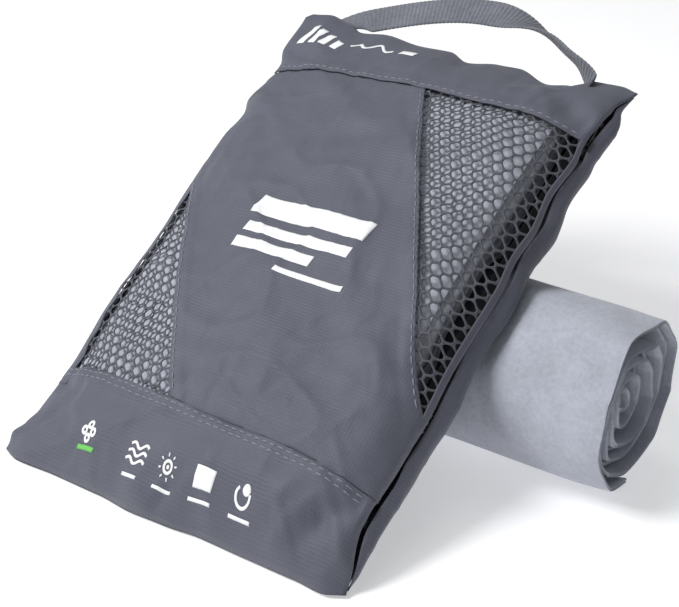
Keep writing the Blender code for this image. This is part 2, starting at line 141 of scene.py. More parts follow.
# The towels
TOWEL_SIDES = (-0.0705, 0.0625)
TOWEL_ENDS = (0.0090, 0.2060)
TOWEL_TOP_GAP = 0.0014
TOWEL_UNDER_GAP = 0.0024
PASSES = 9
THIRDS = 3
ROLL_RADIUS = 0.0325
ROLL_CENTRE_Y = 0.1120
ROLL_RIGHT = 0.1200
ROLL_LENGTH = 0.1525
ROLL_DENT = -0.0015
ROLL_DENT_ENDS = (0.0790, 0.0890)
ROLL_FOOT = 0.0006
ROLL_TURN = 0.00544
ROLL_LAYER = 0.00060


def ease(x):
    x = np.clip(x, 0.0, 1.0)
    return x * x * (3 - 2 * x)


def stand(u, v, n):
    """Points of the pouch in the row frame, leant back over the roll."""
    u, v, n = np.broadcast_arrays(u, v, n)
    rise = EDGE_FOOT + (EDGE_RISE - EDGE_FOOT) * ease(v / END_EASE)
    place = np.stack((u, v * cos(LEAN) - n * sin(LEAN), rise + v * sin(LEAN) + n * cos(LEAN)), axis=-1)
    return place + ROW_SHIFT


def pillow(share, power, roundness):
    return np.maximum(1 - np.abs(share) ** power, 0.0) ** roundness


def plateau(v):
    return ease(v / END_EASE) * ease((HEIGHT - v) / END_EASE)


def pulled_in(a, v):
    from_middle = np.abs(2 * v / HEIGHT - 1)
    right = a * (1 - RIGHT_PULL_IN * (1 - from_middle**RIGHT_PULL_POWER))
    left = a * (1 - LEFT_PULL_IN * (1 - from_middle**LEFT_PULL_POWER))
    return np.where(a > 0, right, left)


def rim_height(a, v):
    share = a / WIDTH + 0.5
    return LEFT_BOW * np.sin(pi * v / HEIGHT) * (1 - share) + FOLD_HEIGHT * plateau(v) * share


def swell(a, b):
    return pillow(2 * a / WIDTH, *SWELL_ACROSS) * pillow(2 * b / HEIGHT - 1, *SWELL_UPWARD)


def squared(share, full, soft):
    return pillow(share, *full) * SHOULDER + pillow(share, *soft) * (1 - SHOULDER)


def boxed(a, b):
    """The front's swell, squared off by the folded towel: fuller at the zip side and the foot."""
    across, upward = 2 * a / WIDTH, 2 * b / HEIGHT - 1
    side = np.where(a > 0, squared(across, BOXED_ACROSS, SWELL_ACROSS), pillow(across, *SWELL_ACROSS))
    foot = np.where(upward < 0, squared(upward, BOXED_UPWARD, SWELL_UPWARD), pillow(upward, *SWELL_UPWARD))
    return side * foot


def front(a, b):
    dip = BAND_DIP * ease((a - BAND_DIP_FROM) / BAND_DIP_RUN) * np.sin(pi * b / HEIGHT) ** 2
    v = b - dip
    return pulled_in(a, v), v, rim_height(a, v) + RIM_GAP + FABRIC + FRONT_BULGE * boxed(a, b)


CENTRE_V = ROLL_CENTRE_Y * cos(LEAN) + (ROLL_RADIUS - EDGE_RISE) * sin(LEAN)
CENTRE_N = -ROLL_CENTRE_Y * sin(LEAN) + (ROLL_RADIUS - EDGE_RISE) * cos(LEAN)


def roll_top(v):
    reach = ROLL_RADIUS**2 - (v - CENTRE_V) ** 2
    top = CENTRE_N + np.sqrt(np.maximum(reach, 0.0))
    return np.where(reach > 0, np.minimum(top, ROLL_DENT), -1.0)


def fold_edge(v):
    return pulled_in(np.full_like(v, WIDTH / 2), v), FOLD_HEIGHT * plateau(v)


def strip_foot(v):
    u, _ = fold_edge(v)
    sag = -STRIP_SAG * pillow(2 * v / HEIGHT - 1, *SWELL_UPWARD)
    return u - STRIP_FOOT_INSET, np.maximum(sag, roll_top(v) + ROLL_CLEARANCE) - STRIP_FOOT_DROP


def back(a, b):
    share = a / WIDTH + 0.5
    foot_u, foot_n = strip_foot(b)
    left_n = LEFT_BOW * np.sin(pi * b / HEIGHT) - RIM_GAP - FABRIC
    n = left_n * (1 - share) + foot_n * share - BACK_BULGE * swell(a, b)
    u = np.where(a < 0, pulled_in(a, b), a * (foot_u - BACK_EDGE_INSET) / HALF)
    return u, b, np.maximum(n, roll_top(b) + ROLL_CLEARANCE)


def side_strip(t, b):
    """The strip, a curve in t from the zip's folded edge out over its bulge and in to its foot."""
    u, n = fold_edge(b)
    size = plateau(b)
    foot_u, foot_n = strip_foot(b)
    first, middle, last = (1 - t) ** 2, 2 * t * (1 - t), t**2
    at_top = ease((b - SLIDER_ZONE[0]) / ZONE_INNER_EASE) * ease((SLIDER_ZONE[1] - b) / ZONE_OUTER_EASE)
    at_foot = ease((LOW_ZONE[1] - b) / ZONE_INNER_EASE) * ease((b - LOW_ZONE[0]) / ZONE_OUTER_EASE)
    opened = LIP_GAP + (SLIDER_LIP_GAP - LIP_GAP) * at_top + (SLIDER_LIP_GAP - LIP_GAP) * at_foot
    edge_u, edge_n = u + STRIP_EDGE[0] * size * opened, n + STRIP_EDGE[1] * size * opened
    bulge_u, bulge_n = u + STRIP_BULGE[0] * size, n + STRIP_BULGE[1] * size
    place_u = edge_u * first + bulge_u * middle + foot_u * last
    place_n = edge_n * first + bulge_n * middle + foot_n * last
    return place_u, b, place_n


# ---- wrinkles and edges


RIPPLE_PEAK = 1.6


def ripple(x, y, seed, count, short, long):
    """A sum of plane waves with wavelengths between short and long: smooth, seeded, about -1 to 1."""
    rng = np.random.RandomState(seed)
    total = 0.0
    for _ in range(count):
        turn = rng.uniform(0, 2 * pi)
        length = rng.uniform(short, long)
        phase = rng.uniform(0, 2 * pi)
        total = total + np.sin(2 * pi * (x * cos(turn) + y * sin(turn)) / length + phase)
    return total / (count * 0.5) ** 0.5 / RIPPLE_PEAK


def creased(x, y, seed, count, short, long):
    """Sharp ridges between soft hollows, 0 to 1."""
    bent_x = x + 0.15 * long * ripple(x, y, seed + 50, 5, long, 2 * long)
    bent_y = y + 0.15 * long * ripple(x, y, seed + 51, 5, long, 2 * long)
    from_ridge = np.abs(ripple(bent_x, bent_y, seed, count, short, long)) * RIPPLE_PEAK
    return (1 - np.minimum(from_ridge, 1)) ** 2


def summed(kind, x, y, layers):
    """Several ripples or creases added up, each given as its depth, seed, waves and wavelengths."""
    return sum(depth * kind(x, y, *waves) for depth, *waves in layers)


def along_table(x, table):
    """A smooth curve through a few (place, height) pairs in millimetres."""
    places = np.array([pair[0] for pair in table]) * MM
    heights = np.array([pair[1] for pair in table]) * MM
    i = np.clip(np.searchsorted(places, x) - 1, 0, len(table) - 2)
    share = ease((x - places[i]) / (places[i + 1] - places[i]))
    return heights[i] + (heights[i + 1] - heights[i]) * share


# How far each edge strays from straight: (place along it, distance) in millimetres, positive up or right
TOP_EDGE = ((-76, 1.0), (-72, 4.0), (-64, 5.4), (-54, 3.2), (-47, 0.0), (-35, 1.8), (-19, 0.0), (-5, 0.6),
            (4, -2.7), (17, -0.3), (26, 0.1), (40, -4.2), (49, -2.4), (58, 2.2), (68, 2.6), (76, 1.0))
LEFT_EDGE = ((0, -3.4), (7, -3.6), (13, -0.6), (18, 0.8), (36, 0.9), (66, -1.2), (100, 0.0), (125, -1.4),
             (149, -2.4), (163, -0.6), (171, -3.0), (182, -0.5), (190, 1.2), (200, -2.2), (218, -0.5))
RIGHT_EDGE = ((0, 0), (20, -1.0), (48, 0.6), (63, 1.2), (90, 0.0), (122, 0.8), (136, -0.4), (148, 0.7),
              (163, -1.0), (178, 0.6), (186, -0.6), (201, 0.8), (209, -0.8), (218, 0))
BOTTOM_EDGE = ((-76, -0.5), (-66, 0.4), (-50, 1.5), (-30, 1.3), (-14, -0.2), (0, 0.4), (15, 1.8), (35, 1.5),
               (55, 1.3), (66, 0.2), (76, 0.0))
# Creases of the front: start, end, half width and depth in millimetres; a negative depth is a ridge
CREASES = (
    ((-6, 0), (4, 15), 2.2, 1.5), ((3, 2), (22, 3), 3.0, 1.3), ((28, 4), (46, 10), 3.2, 1.0),
    ((54, 12), (71, 26), 5.5, 3.8), ((44, 6), (58, 22), 3.0, -1.2), ((56, 30), (72, 12), 2.6, -1.3),
    ((54, 204), (71, 191), 5.2, 3.1), ((44, 210), (58, 190), 3.0, -1.3), ((44, 197), (60, 182), 3.2, -0.9),
    ((40, 14), (52, 28), 4.0, -1.0), ((30, 216), (34, 196), 2.6, 0.9), ((4, 217), (9, 201), 3.0, 1.0),
    ((-46, 217), (-40, 203), 2.6, 1.0), ((-73, 200), (-58, 192), 2.4, 1.1),
    ((-72, 176), (-56, 171), 2.2, 1.2), ((-72, 150), (-58, 152), 2.2, 0.9), ((-74, 8), (-60, 22), 3.0, 1.5),
    ((-72, 30), (-56, 26), 2.4, 0.8), ((-30, 2), (-33, 12), 2.2, 0.8), ((-48, 2), (-45, 10), 2.0, 0.7),
    ((6, 6), (14, 24), 4.0, -0.9), ((-20, 150), (4, 160), 5.0, 0.9), ((-58, 160), (-40, 140), 4.5, 0.8),
    ((20, 90), (38, 70), 5.0, 0.9), ((-2, 62), (24, 52), 4.5, 0.8), ((30, 60), (18, 40), 4.0, 0.8),
    ((8, 174), (30, 150), 5.0, 0.7), ((-50, 176), (-30, 168), 4.5, 0.8), ((-34, 184), (-10, 176), 3.5, 0.6),
    ((-20, 60), (10, 70), 5.5, 0.7),
)


def line_distance(a, b, line):
    """Distance to the left of a seam line, and how far along it."""
    start, end = np.array(line[0]), np.array(line[1])
    run = (end - start) / np.linalg.norm(end - start)
    a, b = a - start[0], b - start[1]
    return run[0] * b - run[1] * a, run[0] * a + run[1] * b


def crease_depth(a, b):
    total = np.zeros_like(a)
    for start, end, half, depth in CREASES:
        start, end = np.array(start) * MM, np.array(end) * MM
        run = end - start
        share = np.clip(((a - start[0]) * run[0] + (b - start[1]) * run[1]) / run.dot(run), 0, 1)
        away = np.hypot(a - start[0] - share * run[0], b - start[1] - share * run[1])
        fade = 0.35 + 0.65 * np.sin(pi * np.clip(share * 0.8 + 0.1, 0, 1))
        total += depth * MM * fade * np.exp(-((away / (half * MM)) ** 2))
    return total


SEAMS = (TOP_BAND, BOTTOM_BAND, LEFT_WINDOW, RIGHT_WINDOW)
PUCKER_DEPTH = 0.00034
PUCKER_REACH = 0.006


def pucker(a, b):
    """Small gathers that run out from the sewn seams."""
    total = np.zeros_like(a)
    for number, line in enumerate(SEAMS):
        away, run = line_distance(a, b, line)
        wave = ripple(run, run * 0, 70 + number, 6, 0.006, 0.014)
        total += PUCKER_DEPTH * wave * np.exp(-np.abs(away) / PUCKER_REACH)
    return total


# Wrinkles: depth, seed, number of waves, shortest and longest wavelength
FRONT_RIPPLES = ((0.00085, 11, 12, 0.030, 0.075), (0.00022, 12, 12, 0.010, 0.022))
FRONT_CREASING = ((0.0008, 13, 7, 0.030, 0.060), (0.00028, 14, 7, 0.012, 0.024))
GATHER_DEPTH = 0.0011
EDGE_THINNING = 0.00028
EDGE_REACH = 0.004
WRINKLE_INSET = 0.012
TOP_EDGE_FROM = 0.184
TOP_EDGE_RUN = 0.034
BELLY = 0.0022
BELLY_RUN = 0.030
BOTTOM_EDGE_RUN = 0.026
BLUNT = 0.0021
BLUNT_FROM = 0.066
BLUNT_ACROSS = 0.009
BLUNT_UPWARD = 0.010


def edge_distance(a, b):
    return np.minimum.reduce((HALF - np.abs(a), b, HEIGHT - b))


def fine_front(a, b):
    """The front's outer surface with its wrinkles, gathers and uneven edges."""
    u, v, n = front(a, b)
    nearest = edge_distance(a, b)
    inside = ease(nearest / WRINKLE_INSET)
    side_gather = np.exp(-(HALF - np.abs(a)) / 0.010) * ripple(b, b * 0 + np.sign(a), 31, 7, 0.010, 0.024)
    end_gather = np.exp(-np.minimum(b, HEIGHT - b) / 0.012) * ripple(a, a * 0, 32, 7, 0.012, 0.026)
    n = n + inside * summed(ripple, a, b, FRONT_RIPPLES)
    n = n + inside * summed(creased, a, b, FRONT_CREASING)
    n = n + GATHER_DEPTH * ease(nearest / 0.005) * (side_gather * 0.8 + end_gather)
    n = n + pucker(a, b) * inside - crease_depth(a, b) * ease(nearest / EDGE_REACH)
    n = n - EDGE_THINNING * (1 - ease(nearest / EDGE_REACH))
    return edged(a, b, u, v, n)


def edged(a, b, u, v, n):
    """The outline: the top edge's ears, the bottom edge's belly and corners, the long edges' waves."""
    v = v + along_table(a, TOP_EDGE) * ease((b - TOP_EDGE_FROM) / TOP_EDGE_RUN)
    belly = BELLY * ease((BELLY_RUN - b) / BELLY_RUN) * pillow(2 * a / WIDTH, 6, 0.5)
    belly = belly - along_table(a, BOTTOM_EDGE) * ease((BOTTOM_EDGE_RUN - b) / BOTTOM_EDGE_RUN)
    v = v - belly * cos(LEAN)
    n = n + belly * sin(LEAN)
    corner = ease((np.abs(a) - BLUNT_FROM) / BLUNT_ACROSS) * ease((BLUNT_UPWARD - b) / BLUNT_UPWARD)
    u = u - np.sign(a) * BLUNT * corner
    v = v + BLUNT * corner * cos(LEAN)
    n = n - BLUNT * corner * sin(LEAN)
    u = u + along_table(b, LEFT_EDGE) * ease((-a - 0.040) / 0.035)
    u = u + along_table(b, RIGHT_EDGE) * ease((a - 0.050) / 0.025)
    return u, v, n


def fine_back(a, b):
    """The back's outer surface, wrinkled only where it stands clear of the roll."""
    u, v, n = back(a, b)
    nearest = edge_distance(a, b)
    clear = ease((n - roll_top(b) - 0.0010) / 0.004)
    wrinkles = 0.0008 * ripple(a, b, 41, 12, 0.025, 0.070) - 0.0007 * creased(a, b, 43, 7, 0.030, 0.055)
    n = n + clear * ease(nearest / WRINKLE_INSET) * wrinkles
    left_lift = EDGE_THINNING * (1 - ease(nearest / EDGE_REACH)) * ease(-a / 0.01 + 0.5)
    right_lift = EDGE_THINNING * (1 - ease(np.minimum(b, HEIGHT - b) / EDGE_REACH))
    n = n + np.where(a > 0, right_lift, left_lift)
    return edged(a, b, u, v, n)


def fine_strip(t, b):
    """The side strip with its folds, following the outline of the front's zip edge."""
    u, v, n = side_strip(t, b)
    size = plateau(b) * np.sin(pi * np.clip(t, 0, 1)) ** 0.8
    folds = ripple(b + 0.004 * t, t * 0.02, 61, 9, 0.016, 0.042)
    push = size * (0.0006 * folds + 0.0003 * creased(b, t * 0.012, 62, 6, 0.018, 0.034))
    u = u + push * 0.9 + along_table(b, RIGHT_EDGE) * ease((b - 0.004) / 0.02)
    n = n - push * 0.25
    corner_height = along_table(np.full_like(b, HALF - 0.001), TOP_EDGE)
    v = v + corner_height * ease((b - TOP_EDGE_FROM) / TOP_EDGE_RUN)
    corner = ease((BLUNT_UPWARD - b) / BLUNT_UPWARD)
    return u - BLUNT * corner, v + BLUNT * corner * cos(LEAN), n - BLUNT * corner * sin(LEAN)


# ---- materials


class Look:
    """A procedural material, written as a chain of small steps."""

    def __init__(self, name, roughness, metallic=0.0, sheen=0.0, specular=0.4):
        self.made = bpy.data.materials.new("look_" + name)
        self.made.use_nodes = True
        self.tree = self.made.node_tree
        self.shader = self.tree.nodes["Principled BSDF"]
        finish = (("Roughness", roughness), ("Metallic", metallic), ("Sheen Weight", sheen),
                  ("Sheen Roughness", 0.45), ("Specular IOR Level", specular))
        for socket, value in finish:
            self.shader.inputs[socket].default_value = value
        place = self.tree.nodes.new("ShaderNodeTexCoord")
        turn = self.tree.nodes.new("ShaderNodeMapping")
        turn.inputs["Rotation"].default_value = (-LEAN, 0, 0)
        self.tree.links.new(place.outputs["Object"], turn.inputs["Vector"])
        self.place = turn.outputs["Vector"]
        split = self.tree.nodes.new("ShaderNodeSeparateXYZ")
        self.tree.links.new(self.place, split.inputs["Vector"])
        self.axes = split.outputs

    def math(self, operation, first, second=0.0, third=None):
        node = self.tree.nodes.new("ShaderNodeMath")
        node.operation = operation
        for socket, value in zip(node.inputs, (first, second, third)):
            if isinstance(value, (int, float)):
                socket.default_value = value
            elif value is not None:
                self.tree.links.new(value, socket)
        return node.outputs[0]

    def noise(self, scale, detail=3.0, roughness=0.55):
        node = self.tree.nodes.new("ShaderNodeTexNoise")
        node.inputs["Scale"].default_value = scale
        node.inputs["Detail"].default_value = detail
        node.inputs["Roughness"].default_value = roughness
        self.tree.links.new(self.place, node.inputs["Vector"])
        return node.outputs["Fac"]

    def threads(self, axis, pitch, sharp=1.0):
        """Parallel threads across an axis, 0 between them and 1 on them."""
        wave = self.math("SINE", self.math("MULTIPLY", self.axes[axis], 2 * pi / pitch))
        share = self.math("MULTIPLY_ADD", wave, 0.5, 0.5)
        return self.math("POWER", share, sharp)

    def colour(self, factor, dark, light, low=0.3, high=0.7):
        ramp = self.tree.nodes.new("ShaderNodeValToRGB")
        for element, place, tone in zip(ramp.color_ramp.elements, (low, high), (dark, light)):
            element.position = place
            element.color = (*tone, 1)
        self.tree.links.new(factor, ramp.inputs["Fac"])
        self.tree.links.new(ramp.outputs["Color"], self.shader.inputs["Base Color"])

    def rough(self, factor, low, high):
        made = self.math("MULTIPLY_ADD", factor, high - low, low)
        self.tree.links.new(made, self.shader.inputs["Roughness"])

    def bump(self, height, distance, strength=1.0):
        node = self.tree.nodes.new("ShaderNodeBump")
        node.inputs["Distance"].default_value = distance
        node.inputs["Strength"].default_value = strength
        self.tree.links.new(height, node.inputs["Height"])
        self.tree.links.new(node.outputs["Normal"], self.shader.inputs["Normal"])


def shade(colour, factor):
    return tuple(min(part * factor, 1.0) for part in colour)


SLATE = (0.105, 0.110, 0.144)
NET = (0.085, 0.089, 0.106)
TOWEL = (0.470, 0.492, 0.565)
WEBBING = (0.155, 0.162, 0.190)
INK = (0.90, 0.91, 0.92)
GREEN = (0.16, 0.55, 0.12)
THREAD = (0.215, 0.225, 0.265)


def ripstop():
    look = Look("ripstop", 0.58, sheen=0.15, specular=0.35)
    warp = look.math("MULTIPLY", look.threads(0, 0.00125, 7), 0.55)
    grid = look.math("MAXIMUM", warp, look.threads(1, 0.00125, 6))
    weave = look.math("MULTIPLY", look.threads(0, 0.0004), look.threads(1, 0.0004))
    patches = look.noise(34, 4, 0.6)
    tone = look.math("MULTIPLY_ADD", patches, 0.55, look.math("MULTIPLY", grid, 0.16))
    tone = look.math("MULTIPLY_ADD", look.noise(900, 2), 0.22, tone)
    look.colour(tone, shade(SLATE, 0.84), shade(SLATE, 1.17), 0.22, 0.72)
    look.rough(grid, 0.60, 0.50)
    height = look.math("MULTIPLY_ADD", weave, 0.35, look.math("MULTIPLY", grid, 0.9))
    look.bump(look.math("MULTIPLY_ADD", look.noise(160, 3), 0.9, height), 0.00010, 0.8)
    return look.made


def netting():
    look = Look("netting", 0.6, sheen=0.1, specular=0.3)
    look.colour(look.noise(1200, 2), shade(NET, 0.75), shade(NET, 1.35))
    look.bump(look.noise(1800, 2), 0.00012, 0.8)
    return look.made


def suede():
    look = Look("suede", 0.95, sheen=0.35, specular=0.15)
    nap = look.noise(560, 6, 0.75)
    tone = look.math("MULTIPLY_ADD", look.noise(38, 4, 0.6), 0.5, look.math("MULTIPLY", nap, 0.5))
    look.colour(tone, shade(TOWEL, 0.80), shade(TOWEL, 1.12), 0.36, 0.62)
    fibres = look.math("MULTIPLY_ADD", look.noise(2600, 2), 0.4, nap)
    look.bump(fibres, 0.00045, 0.9)
    return look.made


def webbing():
    look = Look("webbing", 0.75, sheen=0.2, specular=0.25)
    tone = look.math("MULTIPLY_ADD", look.noise(700, 2), 0.5, look.math("MULTIPLY", look.noise(60, 2), 0.5))
    look.colour(tone, shade(WEBBING, 0.85), shade(WEBBING, 1.40))
    look.bump(look.noise(1500, 2), 0.00015, 0.8)
    return look.made


def plain(name, colour, roughness, scale, metallic=0.0, specular=0.4, spread=0.12, depth=0.00005):
    """A finish whose tone, gloss and surface vary a little at the given scale."""
    look = Look(name, roughness, metallic, specular=specular)
    grain = look.noise(scale, 4, 0.6)
    look.colour(grain, shade(colour, 1 - spread), shade(colour, 1 + spread))
    look.rough(look.noise(scale * 0.3, 3), roughness - 0.08, roughness + 0.08)
    look.bump(grain, depth, 0.7)
    return look.made


looks = {
    "slate_fabric": ripstop(),
    "dark_net": netting(),
    "webbing_grey": webbing(),
    "zip_black": plain("zip_tape", (0.016, 0.016, 0.019), 0.55, 1500, spread=0.3),
    "gunmetal": plain("gunmetal", (0.13, 0.135, 0.145), 0.36, 500, metallic=0.9, spread=0.2),
    "thread_grey": plain("thread", THREAD, 0.6, 2500, spread=0.3),
    "towel_grey": suede(),
}
ink = plain("ink", INK, 0.55, 700, spread=0.05, specular=0.3, depth=0.00003)
green_ink = plain("green_ink", GREEN, 0.55, 700, spread=0.1, specular=0.3, depth=0.00003)


# ---- making pieces


def finish_piece(mesh, name, slot_name, body, nodes=(), look=None):
    mesh.materials.clear()
    mesh.materials.append(look or looks[slot_name])
    mesh.shade_smooth()
    made = bpy.data.objects.new(name, mesh)
    bpy.context.scene.collection.objects.link(made)
    if body:
        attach(made, body)
    if nodes:
        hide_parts(*nodes)
    return made


def thicken(made, thickness, offset=-1.0):
    shell = made.modifiers.new("thickness", "SOLIDIFY")
    shell.thickness = thickness
    shell.offset = offset
    return made


def flat_grid(columns, rows, low, high, cuts, overlap=0.0):
    """A grid in the flat pattern, kept to the left of each cut line and the overlap beyond it."""
    bm = bmesh.new()
    bmesh.ops.create_grid(bm, x_segments=columns, y_segments=rows, size=0.5)
    bmesh.ops.scale(bm, vec=(high[0] - low[0], high[1] - low[1], 1), verts=bm.verts)
    bmesh.ops.translate(bm, vec=((high[0] + low[0]) / 2, (high[1] + low[1]) / 2, 0), verts=bm.verts)
    trim(bm, cuts, overlap)
    return bm


def trim(bm, cuts, overlap):
    for start, end in cuts:
        start, end = Vector((*start, 0)), Vector((*end, 0))
        right = (end - start).cross(Vector((0, 0, 1))).normalized()
        everything = bm.verts[:] + bm.edges[:] + bm.faces[:]
        bmesh.ops.bisect_plane(bm, geom=everything, dist=0.000001, plane_co=start + right * overlap,
                               plane_no=right, clear_outer=True)


def shaped(bm, surface, name):
    """Puts a flat mesh's points on a surface(a, b, height) -> (u, v, n)."""
    flat = np.array([vertex.co for vertex in bm.verts])
    mesh = bpy.data.meshes.new(name)
    bm.to_mesh(mesh)
    bm.free()
    places = stand(*surface(flat[:, 0], flat[:, 1], flat[:, 2]))
    mesh.vertices.foreach_set("co", places.astype(np.float32).ravel())
    mesh.update()
    return mesh


def quads_between(index):
    """The corner numbers of the quads between an array's rows and columns."""
    corners = (index[:-1, :-1], index[:-1, 1:], index[1:, 1:], index[1:, :-1])
    return np.stack(corners, axis=-1).reshape(-1, 4)


def grid_mesh(name, places, wrap=False):
    """A mesh through a rows x columns array of points."""
    rows, columns = places.shape[:2]
    index = np.arange(rows * columns).reshape(rows, columns)
    if wrap:
        index = np.concatenate((index, index[:, :1]), axis=1)
    quads = quads_between(index)
    mesh = bpy.data.meshes.new(name)
    mesh.vertices.add(rows * columns)
    mesh.vertices.foreach_set("co", places.reshape(-1).astype(np.float32))
    mesh.loops.add(len(quads) * 4)
    mesh.loops.foreach_set("vertex_index", quads.ravel().astype(np.int32))
    mesh.polygons.add(len(quads))
    mesh.polygons.foreach_set("loop_start", np.arange(0, len(quads) * 4, 4, dtype=np.int32))
    mesh.update(calc_edges=True)
    mesh.validate()
    return mesh


def reverse(line):
    return line[1], line[0]


SEAM_RISE = 0.00054
SEAM_GROOVE = 0.00030
SEAM_SINK = 0.00036
SEAM_FOLD = 0.0042


def seam_lift(a, b, raised, lowered):
    """Folded seam edges stand a little above the pieces that they are sewn over."""
    total = np.zeros_like(a)
    for line in raised:
        away, _ = line_distance(a, b, line)
        near = np.abs(away)
        total += SEAM_RISE * (1 - ease((near - SEAM_FOLD) / 0.0022)) - SEAM_GROOVE * (1 - ease(near / 0.0007))
    for line in lowered:
        away, _ = line_distance(a, b, line)
        total -= SEAM_SINK * (1 - ease(np.abs(away) / 0.0050))
    return total


def panel_surface(raised, lowered):
    def surface(a, b, height):
        u, v, n = fine_front(a, b)
        return u, v, n + seam_lift(a, b, raised, lowered) + height

    return surface


STEP = 0.0012
CUT_INSET = 0.0001
LEFT_FACING = 0.0056
RIGHT_FACING = 0.0013
FACING_LIFT = 0.00035


def fabric_panel(name, low, high, cuts, raised, lowered):
    columns, rows = round((high[0] - low[0]) / STEP), round((high[1] - low[1]) / STEP)
    bm = flat_grid(columns, rows, low, high, cuts, -CUT_INSET)
    mesh = shaped(bm, panel_surface(raised, lowered), name)
    thicken(finish_piece(mesh, "fabric_" + name, "slate_fabric", "pouch", [name]), FABRIC)


def facing_surface(a, b, height):
    u, v, n = fine_front(a, b)
    return u, v, n + (height + FACING_LIFT)


def facing(name, low, high, columns):
    """A narrow strip of fabric that finishes a long edge of the front over the net's cut cells."""
    bm = flat_grid(columns, round((high[1] - low[1]) / STEP), low, high, [])
    mesh = shaped(bm, facing_surface, name)
    thicken(finish_piece(mesh, name, "slate_fabric", "pouch"), FABRIC / 2)


def whole_sheet(name, node_name, bm, surface):
    mesh = shaped(bm, lambda a, b, height: surface(a, b), node_name)
    thicken(finish_piece(mesh, name, "slate_fabric", "pouch", [node_name]), FABRIC)


inner = [reverse(TOP_BAND), BOTTOM_BAND]
diagonal = ([LEFT_WINDOW, RIGHT_WINDOW], [TOP_BAND, BOTTOM_BAND])
fabric_panel("top_band", (-HALF, TOP_BAND[0][1] - 0.004), (HALF, HEIGHT), [TOP_BAND], [TOP_BAND], [])
fabric_panel("bottom_band", (-HALF, 0), (HALF, BOTTOM_BAND[0][1] + 0.004), [reverse(BOTTOM_BAND)],
             [BOTTOM_BAND], [])
fabric_panel("front_diagonal_panel", (-HALF, 0.030), (HALF, 0.188),
             inner + [LEFT_WINDOW, reverse(RIGHT_WINDOW)], *diagonal)
facing("fabric_left_facing", (-HALF, 0.030), (-HALF + LEFT_FACING, 0.129), 6)
facing("fabric_right_facing", (HALF - RIGHT_FACING, 0.062), (HALF, 0.190), 3)

outward_back = flat_grid(92, 136, (-HALF, 0), (HALF, HEIGHT), [])
bmesh.ops.reverse_faces(outward_back, faces=outward_back.faces)
whole_sheet("fabric_back_panel", "back_panel", outward_back, fine_back)
strip_grid = flat_grid(14, 190, (0, STRIP_TRIM), (1, HEIGHT - STRIP_TRIM), [])
whole_sheet("fabric_side_strip", "zipper_side_strip", strip_grid, fine_strip)


# ---- the knitted net

NET_FIRST = np.array((0.00235, -0.00385))
NET_SECOND = np.array((0.0050, -0.00065))
NET_CELLS = 60
NET_MARGIN = 0.004
NET_OVERLAP = 0.0014
NET_THICKNESS = 0.00042
NET_SINK = 0.00020
NET_SEAM_SINK = 0.00058
STRAND_HALF = 0.00044
STRAND_CROWN = 0.00012
EDGE_PARTS = 3


def circumcentre(p, q):
    """The point as far from the origin as from p and q."""
    return np.linalg.solve(2 * np.array((p, q)), np.array((p.dot(p), q.dot(q))))


def net_cell():
    """One cell of the net around the origin: its outline, and the rounded hole inside."""
    third = NET_SECOND - NET_FIRST
    around = [NET_FIRST, NET_SECOND, third, -NET_FIRST, -NET_SECOND, -third]
    corners = [circumcentre(around[i], around[(i + 1) % 6]) for i in range(6)]
    outline = []
    for i in range(6):
        for part in range(EDGE_PARTS):
            share = part / EDGE_PARTS
            outline.append(corners[i - 1] * (1 - share) + corners[i] * share)
    outline = np.array(outline)
    size = np.linalg.norm(outline, axis=1)
    rounded = (np.roll(size, 1) + size + np.roll(size, -1)) / 3
    rounded = (np.roll(rounded, 1) + rounded + np.roll(rounded, -1)) / 3
    hole = outline / size[:, None] * (np.minimum(rounded, size) - STRAND_HALF)[:, None]
    return outline, hole


def net_sheet(low, high):
    """The whole lattice over a rectangle, flat, with z as each strand's crown."""
    outline, hole = net_cell()
    middle = outline * 0.45 + hole * 0.55
    crown = ((outline, STRAND_CROWN), (middle, 0.00010), (hole, -STRAND_CROWN))
    bm = bmesh.new()
    for i in range(-NET_CELLS, NET_CELLS + 1):
        for j in range(-NET_CELLS, NET_CELLS + 1):
            centre = NET_FIRST * i + NET_SECOND * j
            if not (low[0] < centre[0] < high[0] and low[1] < centre[1] < high[1]):
                continue
            rings = [[bm.verts.new((*(centre + point), height)) for point in ring] for ring, height in crown]
            for outer, inner_ring in zip(rings, rings[1:]):
                for k in range(len(outer)):
                    following = (k + 1) % len(outer)
                    bm.faces.new((outer[k], outer[following], inner_ring[following], inner_ring[k]))
    bmesh.ops.remove_doubles(bm, verts=bm.verts, dist=0.00002)
    bmesh.ops.recalc_face_normals(bm, faces=bm.faces)
    if sum(face.normal.z for face in bm.faces) < 0:
        bmesh.ops.reverse_faces(bm, faces=bm.faces)
    return bm


def net_surface(lines):
    def surface(a, b, height):
        u, v, n = fine_front(a, b)
        drop = np.full_like(a, NET_SINK)
        for line in lines:
            away, _ = line_distance(a, b, line)
            near = 1 - ease((np.abs(away) - 0.0012) / 0.0050)
            drop = np.maximum(drop, NET_SINK + NET_SEAM_SINK * near)
        return u, v, n + height - drop

    return surface


def net_window(name, cuts, lines):
    bm = net_sheet((-HALF - NET_MARGIN, -NET_MARGIN), (HALF + NET_MARGIN, HEIGHT + NET_MARGIN))
    trim(bm, cuts, NET_OVERLAP)
    trim(bm, [((-HALF, 1), (-HALF, 0)), ((HALF, 0), (HALF, 1))], -0.00005)
    mesh = shaped(bm, net_surface(lines), name)
    thicken(finish_piece(mesh, "knitted_" + name, "dark_net", "pouch", [name]), NET_THICKNESS)


net_window("mesh_panel_left", inner + [reverse(LEFT_WINDOW)], [LEFT_WINDOW, BOTTOM_BAND])
net_window("mesh_panel_right", inner + [RIGHT_WINDOW], [RIGHT_WINDOW, TOP_BAND])


# ---- sewing thread

